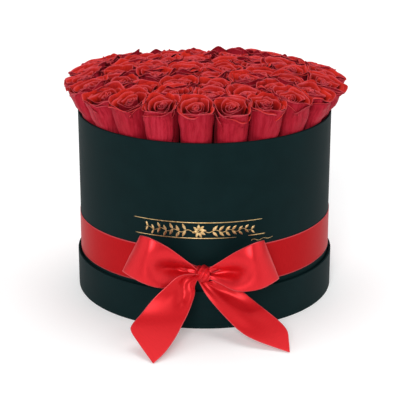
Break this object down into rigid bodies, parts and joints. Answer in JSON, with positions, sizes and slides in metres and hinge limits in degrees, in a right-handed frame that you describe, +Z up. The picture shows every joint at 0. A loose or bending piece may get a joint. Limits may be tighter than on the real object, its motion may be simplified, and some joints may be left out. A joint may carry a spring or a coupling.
{
  "type": "flower box",
  "caption": "Round paper-wrapped board box in a shallow base tray, packed with preserved rose heads in floral foam, with a satin ribbon tied in a bow at the front.",
  "frame": {"origin": "centre of the base tray's underside, on the surface it stands on", "axes": "+Z up along the box's axis, the bow at the front towards -Y, +X to the right seen from the front"},
  "size_m": [0.3656, 0.4529, 0.291],
  "materials": {
    "cover_paper": "matte",
    "greyboard": "matte",
    "floral_foam": "matte",
    "satin_ribbon": "satin",
    "rose_petals": "matte",
    "calyx_green": "matte",
    "pick_wood": "matte"
  },
  "bodies": {
    "base_tray": {"tray_bottom_sheet": "cover_paper", "tray_floor": "greyboard", "tray_wall": "greyboard", "tray_cover_paper": "cover_paper"},
    "box": {"body_tube": "greyboard", "body_floor": "greyboard", "body_lining": "cover_paper", "body_cover_paper": "cover_paper", "foam_lower": "floral_foam", "foam_upper": "floral_foam", "ribbon_band": "satin_ribbon", "bow_knot": "satin_ribbon", "bow_loop_left": "satin_ribbon", "bow_loop_right": "satin_ribbon", "bow_tail_left": "satin_ribbon", "bow_tail_right": "satin_ribbon", "rose_picks": "pick_wood", "rose_calyxes": "calyx_green", "roses_centre": "rose_petals", "roses_third_ring": "rose_petals", "rose_outer_01": "rose_petals", "rose_outer_02": "rose_petals", "rose_outer_03": "rose_petals", "rose_outer_04": "rose_petals", "rose_outer_05": "rose_petals", "rose_outer_06": "rose_petals", "rose_outer_07": "rose_petals", "rose_outer_08": "rose_petals", "rose_outer_09": "rose_petals", "rose_outer_10": "rose_petals", "rose_outer_11": "rose_petals", "rose_outer_12": "rose_petals", "rose_outer_13": "rose_petals", "rose_outer_14": "rose_petals", "rose_outer_15": "rose_petals", "rose_outer_16": "rose_petals", "rose_outer_17": "rose_petals", "rose_outer_18": "rose_petals", "rose_outer_19": "rose_petals", "rose_outer_20": "rose_petals", "rose_outer_21": "rose_petals", "rose_outer_22": "rose_petals", "rose_second_01": "rose_petals", "rose_second_02": "rose_petals", "rose_second_03": "rose_petals", "rose_second_04": "rose_petals", "rose_second_05": "rose_petals", "rose_second_06": "rose_petals", "rose_second_07": "rose_petals", "rose_second_08": "rose_petals", "rose_second_09": "rose_petals", "rose_second_10": "rose_petals", "rose_second_11": "rose_petals", "rose_second_12": "rose_petals", "rose_second_13": "rose_petals", "rose_second_14": "rose_petals", "rose_second_15": "rose_petals", "rose_second_16": "rose_petals"}
  },
  "joints": [
    {"name": "box_lift", "type": "slide", "parent": "base_tray", "child": "box", "axis": [0, 0, 1], "range_m": [0, 0.05]}
  ]
}
